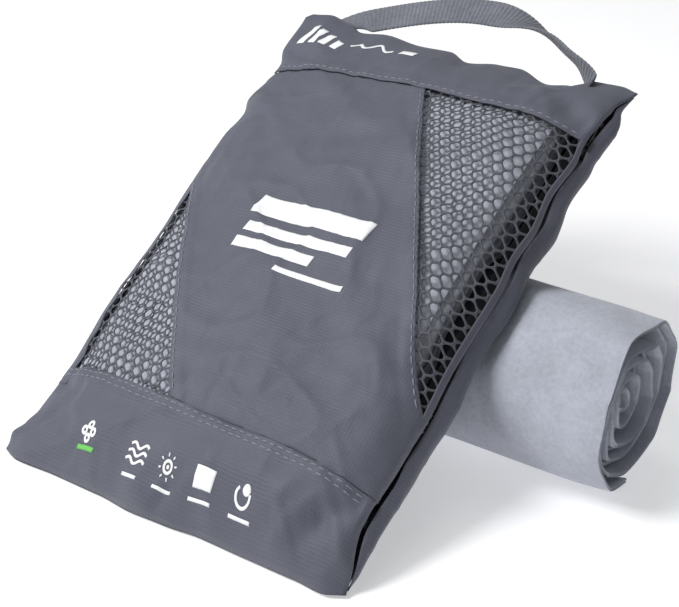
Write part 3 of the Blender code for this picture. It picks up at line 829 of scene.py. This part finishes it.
STITCH_LENGTH = 0.0026
STITCH_GAP = 0.0009
THREAD_RADIUS = 0.00030
STITCH_WANDER = 0.00012


def close_ends(mesh, **limits):
    bm = bmesh.new()
    bm.from_mesh(mesh)
    bmesh.ops.holes_fill(bm, edges=bm.edges, **limits)
    bmesh.ops.recalc_face_normals(bm, faces=bm.faces)
    bm.to_mesh(mesh)
    bm.free()


def sweep(paths, radii, sides, name):
    """Round threads through several rows of points; radii has one value a point."""
    ring = np.arange(sides) * 2 * pi / sides
    parts, faces, offset = [], [], 0
    for path, radius in zip(paths, radii):
        run = np.gradient(path, axis=0)
        run /= np.linalg.norm(run, axis=1)[:, None]
        up = np.array((0.0, -sin(LEAN), cos(LEAN)))
        side = np.cross(run, up)
        side /= np.linalg.norm(side, axis=1)[:, None]
        over = np.cross(side, run)
        around = np.cos(ring)[None, :, None] * side[:, None] + np.sin(ring)[None, :, None] * over[:, None]
        points = path[:, None] + radius[:, None, None] * around
        count = len(path)
        index = np.arange(count * sides).reshape(count, sides) + offset
        index = np.concatenate((index, index[:, :1]), axis=1)
        faces.append(quads_between(index))
        parts.append(points.reshape(-1, 3))
        offset += count * sides
    points, quads = np.concatenate(parts), np.concatenate(faces)
    mesh = bpy.data.meshes.new(name)
    mesh.from_pydata(points.tolist(), [], quads.tolist())
    close_ends(mesh, sides=sides)
    return mesh


def stitches(name, line, aside, raised, lowered, ends=(0.004, 0.004)):
    start, end = np.array(line[0]), np.array(line[1])
    length = np.linalg.norm(end - start)
    run = (end - start) / length
    beside = np.array((run[1], -run[0]))
    surface = panel_surface(raised, lowered)
    paths, radii = [], []
    place = ends[0]
    rng = np.random.RandomState(int(length * 10000) + len(name))
    while place < length - ends[1]:
        share = np.linspace(0, 1, 7)
        distance = place + share * STITCH_LENGTH
        wobble = rng.uniform(-STITCH_WANDER, STITCH_WANDER)
        points = start + run * distance[:, None] + beside * aside + beside * wobble
        arch = np.sin(pi * share) ** 0.6
        u, v, n = surface(points[:, 0], points[:, 1], (arch - 0.55) * THREAD_RADIUS * 1.1)
        paths.append(stand(u, v, n))
        radii.append(THREAD_RADIUS * (0.55 + 0.45 * arch))
        place += STITCH_LENGTH + STITCH_GAP
    finish_piece(sweep(paths, radii, 6, name), "stitched_" + name, "thread_grey", "pouch", [name])


stitches("topstitch_top_band", TOP_BAND, -0.0016, [TOP_BAND], [])
stitches("topstitch_bottom_band_upper", BOTTOM_BAND, 0.0014, [BOTTOM_BAND], [])
stitches("topstitch_bottom_band_lower", BOTTOM_BAND, 0.0034, [BOTTOM_BAND], [])
stitches("topstitch_window_left", LEFT_WINDOW, -0.0016, *diagonal, ends=(0.004, 0.003))
stitches("topstitch_window_right", RIGHT_WINDOW, 0.0016, *diagonal, ends=(0.003, 0.004))


# ---- the handle


def strap_centre(t):
    u = STRAP_ENDS[0] + (STRAP_ENDS[1] - STRAP_ENDS[0]) * t
    rise = (sin(pi * min(max(t, 0), 1) ** 1.25) ** 0.85) * STRAP_RISE
    return np.array((u, STRAP_FOOT_V + rise, STRAP_FORWARD * sin(pi * t)))


def unit(vector):
    return vector / np.linalg.norm(vector)


def handle():
    """Webbing with cross ribs, flat to the front at its left and turned edge-on at its right."""
    count = round(STRAP_LENGTH / RIB_PITCH) * RIB_POINTS
    shares = np.linspace(0, 1, count + 1)
    lanes = np.linspace(-0.5, 0.5, 15)
    steps = [strap_centre(t) for t in shares]
    travelled = np.concatenate(((0,), np.cumsum([np.linalg.norm(q - p) for p, q in zip(steps, steps[1:])])))
    front_side, rear_side = [], []
    for t, centre, distance in zip(shares, steps, travelled):
        run = unit(strap_centre(min(t + 0.01, 1)) - strap_centre(max(t - 0.01, 0)))
        side = unit(np.cross((0, 0, 1), run))
        foot = float(ease(t / STRAP_FOOT_TURN))
        side = unit(np.array((-1, 0, 0)) * (1 - foot) + side * foot)
        twist = STRAP_TWIST * float(ease((t - STRAP_TWIST_FROM) / STRAP_TWIST_RUN))
        side = side * cos(twist) + np.array((0, 0, -1)) * sin(twist)
        last = float(ease((t - STRAP_LAST_FROM) / STRAP_LAST_RUN))
        side = unit(side * (1 - last) + np.array(STRAP_LAST_SIDE) * last)
        outward = unit(np.cross(run, side))
        rib = RIB_HEIGHT * (0.5 + 0.5 * np.cos(2 * pi * distance / RIB_PITCH + 0.5 * np.sin(lanes * 40)))
        edge = pillow(2 * lanes * 0.98, 8, 0.5)
        half = (STRAP_THICKNESS / 2 + rib - RIB_HEIGHT / 2) * (0.25 + 0.75 * edge)
        place = centre + side * lanes[:, None] * STRAP_WIDTH
        place[:, 1] = np.maximum(place[:, 1], STRAP_FOOT_V - 0.002)
        front_side.append(place + outward * half[:, None])
        rear_side.append(place - outward * half[:, None])
    loops = np.concatenate((np.array(front_side), np.array(rear_side)[:, ::-1]), axis=1)
    tuck = np.array((0, STRAP_TUCK, 0))
    loops = np.concatenate((loops[:1] - tuck, loops, loops[-1:] - tuck))
    mesh = grid_mesh("handle_strap", stand(loops[..., 0], loops[..., 1], loops[..., 2]), wrap=True)
    close_ends(mesh)
    made = finish_piece(mesh, "ribbed_handle_strap", "webbing_grey", None, ["handle_strap"])
    start, end = stand(0.0, STRAP_BLEND[0], 0.0), stand(0.0, STRAP_BLEND[1], 0.0)
    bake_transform(made)


handle()


# ---- the zip


def coil(name, across):
    """One side of the zip: a spiral of nylon monofilament."""
    low, high = ZIP_ENDS
    turns = (high - low) / TOOTH_PITCH
    share = np.linspace(0, 1, round(turns * 9))
    angle = 2 * pi * turns * share
    v = low + (high - low) * share
    flat = across + (COIL_RADIUS - TOOTH_WIRE) * np.cos(angle)
    out = (COIL_RADIUS - TOOTH_WIRE) * np.sin(angle)
    u = CHAIN_U + GAP_ALONG[0] * flat + GAP_OUTWARD[0] * out
    n = CHAIN_N + GAP_ALONG[1] * flat + GAP_OUTWARD[1] * out
    path = stand(u, v, n)
    mesh = sweep([path], [np.full(len(path), TOOTH_WIRE)], 5, name)
    finish_piece(mesh, "spiral_" + name, "zip_black", "pouch", [name])


coil("zipper_coil_front", -COIL_SPACING / 2)
coil("zipper_coil_back", COIL_SPACING / 2)
subparts = {part["node"]: part["material_slot"] for part in frame["record"]["subparts"]}
for node_name in ("zipper_tape_front", "zipper_tape_back", "zipper_top_stop_front", "zipper_top_stop_back",
                  "zipper_bottom_stop", "zipper_slider", "zipper_pull"):
    node = frame["nodes"][node_name]
    node.data.materials.clear()
    node.data.materials.append(looks[subparts[node_name]])


# ---- the folded towel


FOLD_REACH = 0.0028


def dense_ends(edge, end_count, inside, middle_count):
    """Places from -0.5 to 0.5 with closer steps near both ends, where the layers curve in."""
    ends = np.linspace(-0.5, -edge, end_count), np.linspace(edge, 0.5, end_count)
    return np.concatenate((ends[0], np.linspace(-inside, inside, middle_count), ends[1]))


def to_and_fro(layer):
    """One layer's nine passes: places across the stack and levels up it, with its side folds."""
    across = dense_ends(0.42, 6, 0.40, 26)
    shares, heights = [], []
    for index in range(PASSES):
        forward = index % 2 == 0
        level = THIRDS * index + (layer if forward else THIRDS - 1 - layer)
        shares += list(across if forward else -across)
        heights += [level] * len(across)
        if index == PASSES - 1:
            break
        following = THIRDS * (index + 1) + (THIRDS - 1 - layer if forward else layer)
        side = 1 if forward else -1
        reach = FOLD_REACH * (following - level)
        for step in (0.2, 0.4, 0.6, 0.8):
            shares.append(side * (0.5 + reach * sin(pi * step)))
            heights.append((level + following) / 2 - (following - level) / 2 * cos(pi * step))
    return np.array(shares), np.array(heights)


def folded_towel():
    """One sheet in thirds by ninths: three layers that run to and fro nine times."""
    along_sheet = dense_ends(0.46, 5, 0.44, 56)
    sheets = []
    for layer in range(THIRDS):
        shares, heights = to_and_fro(layer)
        rows = along_sheet if layer % 2 == 0 else -along_sheet
        x = np.repeat(shares[None], len(rows), axis=0)
        y = np.repeat(rows[:, None], len(shares), axis=1)
        z = (np.repeat(heights[None], len(rows), axis=0) + 0.5) / (PASSES * THIRDS) - 0.5
        shift = 0.010 * np.sin(z * 19 + 1.0) + 0.006 * ripple(y * 0.2, z * 0.2, 81, 5, 0.03, 0.08)
        x = x * (0.985 + shift * 0.7)
        a = TOWEL_SIDES[0] + (TOWEL_SIDES[1] - TOWEL_SIDES[0]) * (x + 0.5)
        b = TOWEL_ENDS[0] + (TOWEL_ENDS[1] - TOWEL_ENDS[0]) * (y + 0.5)
        u, v, top = front(a, b)
        low = back(a, v)[2] + FABRIC + TOWEL_UNDER_GAP
        high = top - FABRIC - TOWEL_TOP_GAP
        middle, half = (low + high) / 2, (high - low) / 2
        round_side = pillow(np.clip(2 * x * 0.98, -1, 1), 22, 0.5) * 0.60 + 0.40
        round_end = pillow(2 * y, 18, 0.5) * 0.72 + 0.28
        n = middle + 2 * z * half * round_side * round_end
        n = n - 0.0004 * creased(a, b, 83, 6, 0.020, 0.045) * np.clip(z * 2, 0, 1)
        sheets.append(stand(u, v, n))
    mesh = grid_mesh("folded_towel", np.concatenate(sheets))
    made = finish_piece(mesh, "folded_towel_sheet", "towel_grey", "pouch", ["folded_towel"])


folded_towel()


# ---- the rolled towel

SPIRAL_START = radians(-100)
START_INSET = 0.0012
TURN_POINTS = 62
# The sheet's halves: seed, layers from the stack's face to its middle, and how far their ends stand in
HALVES = ((101, (0, 1, 2, 3), 0.0), (102, (7, 6, 5, 4), 0.0046))
FOLD_BULGE = 1.3
END_UNEVEN = 0.0016
CORE_INSET = 0.0060
CORE_RADIUS = 0.024
OPEN_END = 0.016
TAIL_DROP = 0.0037
TAIL_TURN = 0.11
ROLL_CORNERS = 7
CORNER_SHARE = 0.92
ROLL_GAP = 0.0002
FLOOR_SOFTNESS = 0.0008


def u_turn(x_end, first, last, bulge):
    """The fold that joins two layers at an end of the roll."""
    steps = np.linspace(0, pi, 8)[1:-1]
    middle, half = (first + last) / 2, (first - last) / 2
    return [(x_end, bulge * abs(half) * sin(step), middle + half * cos(step)) for step in steps]


def stack_path(levels):
    """A half's four layers as (share along the roll, reach past its end, offset) points across the sheet."""
    offsets = [(3.5 - level) * ROLL_LAYER for level in levels]
    run = np.concatenate((np.linspace(0, 0.86, 12), np.linspace(0.88, 1, 10)))
    path = [(share, 0.0, offsets[3]) for share in run]
    path += u_turn(1.0, offsets[3], offsets[0], FOLD_BULGE)
    path += [(share, 0.0, offsets[0]) for share in run[::-1]]
    left_turn = u_turn(0.0, offsets[0], offsets[1], FOLD_BULGE)
    path += [(share, -reach, offset) for share, reach, offset in left_turn]
    path += [(share, 0.0, offsets[1]) for share in run]
    path += u_turn(1.0, offsets[1], offsets[2], FOLD_BULGE)
    path += [(share, 0.0, offsets[2]) for share in run[::-1]]
    return np.array(path)


def roll_points(levels, seed, stands_in):
    """A half of the sheet wound up: x along the roll, y and z about its axis, and how near its open end."""
    path = stack_path(levels)
    turns = (ROLL_RADIUS - ROLL_TURN / 2 - START_INSET) / ROLL_TURN
    angle = np.linspace(0, 2 * pi * turns, round(turns * TURN_POINTS))
    turned = angle / (2 * pi)
    tucked = ease((turned - 0.70) / 0.30)
    radius = (ROLL_RADIUS - ROLL_TURN / 2 - ROLL_TURN * np.where(turned < 1, tucked, turned))[:, None]
    share, reach, offset = path[:, 0][None], path[:, 1][None], path[:, 2][None]
    mean_offset = path[:, 2].mean()
    theta = (SPIRAL_START - angle)[:, None]
    uneven = ripple(angle[:, None] * 0.006, angle[:, None] * 0.0, seed, 7, 0.012, 0.035)
    inset = END_UNEVEN + END_UNEVEN * uneven
    inset = inset + CORE_INSET * ease((CORE_RADIUS - radius) / CORE_RADIUS) + stands_in
    right = ROLL_RIGHT - np.maximum(inset, 0.0001)
    left = ROLL_RIGHT - ROLL_LENGTH + np.maximum(inset * 0.6, 0.0001) + 0.0008
    inner_layer = (np.abs(offset - mean_offset) < 0.5 * ROLL_LAYER) * 0.0011
    x = left + (right - left) * share + reach - inner_layer * (share > 0.5) * ease((share - 0.9) / 0.1)
    near_end = ease((x - (ROLL_RIGHT - OPEN_END)) / OPEN_END)
    loose = 1 - near_end * (0.42 + 0.25 * ripple(theta * 0.02, radius * 1.5, seed + 1, 7, 0.02, 0.05))
    spread = mean_offset * (0.92 + 0.35 * near_end * (mean_offset > 0))
    r = radius + spread + (offset - mean_offset) * loose
    r = r - TAIL_DROP * near_end * (1 - ease(turned / TAIL_TURN))[:, None]
    corner = np.mod(theta + 0.35 * np.sin(theta * 2 + 0.6) + 0.2, 2 * pi / ROLL_CORNERS) - pi / ROLL_CORNERS
    chord = cos(pi / ROLL_CORNERS * CORNER_SHARE) / np.cos(corner * CORNER_SHARE)
    r = np.maximum(r * (1 + (chord - 0.985) * 0.75 * near_end), 0.0004)
    return x, r * np.cos(theta), r * np.sin(theta), near_end


def crumpled(x, y, z, near_end):
    """Pushes the whole roll about a little, more at its open end, so that it lies like a soft thing."""
    size = 0.00035 + 0.00165 * near_end
    core = 0.6 + 0.9 * np.exp(-(y**2 + z**2) / 0.014**2)
    shift_y = size * core * (ripple(y, z, 91, 8, 0.016, 0.040) + 0.6 * ripple(x, y + z, 92, 6, 0.03, 0.07))
    shift_z = size * core * (ripple(y, z, 93, 8, 0.016, 0.040) + 0.6 * ripple(x, y - z, 94, 6, 0.03, 0.07))
    return y + shift_y, z + shift_z


def pressed(x, y, z):
    """The roll's y and z held inside its radius, dented where the pouch lies on it and flat on the floor."""
    away = np.hypot(y, z)
    limit = ROLL_RADIUS + ROLL_GAP
    trimmed = np.where(away > limit, limit / np.maximum(away, 1e-9), 1.0)
    y, z = y * trimmed, z * trimmed
    along_v = y * cos(LEAN) + z * sin(LEAN)
    height = -y * sin(LEAN) + z * cos(LEAN)
    top = np.sqrt(np.maximum(ROLL_RADIUS**2 - along_v**2, 1e-8))
    room = ROLL_DENT - ROLL_GAP - CENTRE_N
    squeeze = np.where((top > room) & (height > 0), room / top, 1.0)
    under = 1 - ease((x - ROLL_DENT_ENDS[0]) / (ROLL_DENT_ENDS[1] - ROLL_DENT_ENDS[0]))
    height = height * (squeeze * under + (1 - under))
    y = along_v * cos(LEAN) - height * sin(LEAN)
    z = along_v * sin(LEAN) + height * cos(LEAN)
    z = z + ROLL_RADIUS - ROLL_FOOT
    z = ROLL_GAP + FLOOR_SOFTNESS * np.logaddexp(0.0, (z - ROLL_GAP) / FLOOR_SOFTNESS)
    return y + ROLL_CENTRE_Y, z


def rolled_towel():
    """One sheet: folded in four across and in half along, then rolled up from that second fold."""
    halves = []
    for seed, levels, stands_in in HALVES:
        x, y, z, near_end = roll_points(levels, seed, stands_in)
        y, z = pressed(x, *crumpled(x, y, z, near_end))
        halves.append(np.stack((x, y, z), axis=-1) + ROW_SHIFT)
    outer, inner_half = halves
    mesh = grid_mesh("rolled_towel", np.concatenate((outer, inner_half[::-1])))
    made = finish_piece(mesh, "rolled_towel_sheet", "towel_grey", "roll", ["rolled_towel"])


# ---- generic print


INK_STEP = 0.8
INK_LIFT = 0.00013
INK_THICKNESS = 0.00006
RING_PARTS = 28


class Print:
    """Thin flat shapes of ink, laid out in the front's flat pattern in millimetres."""

    def __init__(self):
        self.points, self.faces = [], []

    def grid(self, rows):
        rows = np.array(rows) * MM
        count, width = rows.shape[:2]
        index = np.arange(count * width).reshape(count, width) + len(self.points)
        self.points += rows.reshape(-1, 2).tolist()
        self.faces += quads_between(index).tolist()

    def bar(self, u, v, width, height, slant):
        """A slanted bar from its lower left corner."""
        across = np.linspace(0, 1, max(2, round(width / INK_STEP)) + 1)
        up = np.linspace(0, 1, max(1, round(height / INK_STEP)) + 1)
        self.grid([[(u + width * s + slant * height * t, v + height * t) for t in up] for s in across])

    def ring(self, u, v, inner_radius, outer_radius, start=0, end=360):
        angles = np.radians(np.linspace(start, end, RING_PARTS + 1))
        radii = np.linspace(outer_radius, inner_radius, 3)
        self.grid([[(u + r * cos(k), v + r * sin(k)) for r in radii] for k in angles])

    def stroke(self, path, width):
        path = np.array(path, float)
        run = np.gradient(path, axis=0)
        run /= np.linalg.norm(run, axis=1)[:, None]
        aside = np.stack((-run[:, 1], run[:, 0]), axis=1) * width / 2
        self.grid([[tuple(p - q), tuple(p), tuple(p + q)] for p, q in zip(path, aside)])

    def shift(self, u, v):
        self.points = [(x + u * MM, y + v * MM) for x, y in self.points]

    def make(self, name, look, raised, lowered):
        bm = bmesh.new()
        verts = [bm.verts.new((*point, INK_LIFT)) for point in self.points]
        for face in self.faces:
            bm.faces.new([verts[k] for k in face])
        bm.normal_update()
        flipped = [face for face in bm.faces if face.normal.z < 0]
        bmesh.ops.reverse_faces(bm, faces=flipped)
        mesh = shaped(bm, panel_surface(raised, lowered), name)
        thicken(finish_piece(mesh, name, "slate_fabric", "pouch", look=look), INK_THICKNESS, 1.0)


def wave(u, v, width, height, count, parts=24):
    return [(u + width * s, v + height * sin(2 * pi * count * s)) for s in np.linspace(0, 1, parts + 1)]


mark = Print()
for number in range(4):
    mark.bar(-69 + 5.6 * number, 200.5 + 0.12 * number, 3.4, 9.0 - 1.2 * number, slant=0.30)
mark.stroke(wave(-44, 205.5, 22, 1.9, 2, 40), 1.3)
mark.bar(-18.5, 203.6, 7.0, 3.0, slant=0.30)
mark.make("print_top_mark", ink, [TOP_BAND], [])

title = Print()
title.bar(-28.2, 111.6, 53, 8.6, slant=0.16)
title.bar(-26.4, 103.4, 49, 4.4, slant=0.16)
title.bar(-27.6, 96.2, 37, 4.4, slant=0.16)
title.bar(-3.0, 90.6, 30.5, 2.2, slant=0.16)
title.make("print_title_blocks", ink, *diagonal)

icons = Print()
for k in range(4):
    icons.ring(-40.6 + 2.1 * cos(pi / 2 * k), 18.5 + 2.1 * sin(pi / 2 * k), 0.5, 1.5)
for k in range(3):
    icons.stroke(wave(-20.8, 15.6 + 2.3 * k, 8.6, 0.75, 1.5), 0.9)
icons.ring(-2.6, 17.6, 1.2, 2.1)
icons.ring(-2.6, 17.6, 0.0, 0.6)
for k in range(8):
    turn = 2 * pi * k / 8 + 0.2
    icons.stroke([(-2.6 + r * cos(turn), 17.6 + r * sin(turn)) for r in (2.8, 3.3, 3.8)], 0.5)
icons.bar(10.2, 14.4, 8.0, 6.2, slant=0.1)
icons.ring(30.8, 17.2, 2.5, 3.5, 130, 380)
icons.ring(32.0, 19.2, 0.0, 1.7)
for centre, width in ((-17.0, 7.2), (-3.0, 7.6), (13.6, 9.6), (30.4, 9.0)):
    icons.bar(centre - width / 2, 10.9, width, 1.0, slant=0.16)
icons.shift(0.4, -3.2)
icons.make("print_pictograms", ink, [BOTTOM_BAND], [])

accent = Print()
accent.bar(-44.6, 12.6, 8.6, 1.5, slant=0.16)
accent.shift(0.4, -3.0)
accent.make("print_green_accent", green_ink, [BOTTOM_BAND], [])


# ---- studio

CAMERA_PLACE = (0.27967, -0.44430, 0.33105)
CAMERA_RIGHT = (0.82535, 0.56461, 0.00349)
CAMERA_UP = (-0.27243, 0.39281, 0.87834)
LENS = 86.28
SENSOR = 36.0


def area_light(name, place, target, size, power):
    lamp = bpy.data.lights.new(name, "AREA")
    lamp.shape = "DISK"
    lamp.size = size
    lamp.energy = power
    made = bpy.data.objects.new(name, lamp)
    made.location = place
    made.rotation_euler = (Vector(target) - Vector(place)).to_track_quat("-Z", "Y").to_euler()
    bpy.context.scene.collection.objects.link(made)


def studio():
    world = bpy.data.worlds.new("studio")
    world.use_nodes = True
    glow = world.node_tree.nodes["Background"]
    glow.inputs["Color"].default_value = (0.96, 0.98, 1.0, 1)
    glow.inputs["Strength"].default_value = 0.22
    bpy.context.scene.world = world
    area_light("key", (-0.45, -0.55, 0.85), (0, 0, 0.05), 0.48, 10.0)
    area_light("top", (-0.10, 0.30, 1.00), (0, 0, 0.05), 0.60, 1.8)
    floor = plain("floor", (0.86, 0.86, 0.87), 0.9, 30, spread=0.01, specular=0.1, depth=0.0)
    shader = floor.node_tree.nodes["Principled BSDF"]
    shader.inputs["Emission Color"].default_value = (1, 1, 1, 1)
    shader.inputs["Emission Strength"].default_value = 0.40
    bm = bmesh.new()
    bmesh.ops.create_grid(bm, x_segments=1, y_segments=1, size=3.0)
    mesh = bpy.data.meshes.new("studio_floor")
    bm.to_mesh(mesh)
    bm.free()
    mesh.materials.append(floor)
    made = bpy.data.objects.new("studio_floor", mesh)
    bpy.context.scene.collection.objects.link(made)


def camera():
    lens = bpy.data.cameras.new("camera")
    lens.lens = LENS
    lens.sensor_width = SENSOR
    lens.clip_start = 0.01
    made = bpy.data.objects.new("camera", lens)
    right, up = Vector(CAMERA_RIGHT), Vector(CAMERA_UP)
    axes = Matrix((right, up, right.cross(up))).transposed().to_4x4()
    made.matrix_world = Matrix.Translation(Vector(CAMERA_PLACE)) @ axes
    bpy.context.scene.collection.objects.link(made)
    bpy.context.scene.camera = made


studio()
rolled_towel()
camera()
bpy.context.scene.view_settings.view_transform = "Standard"
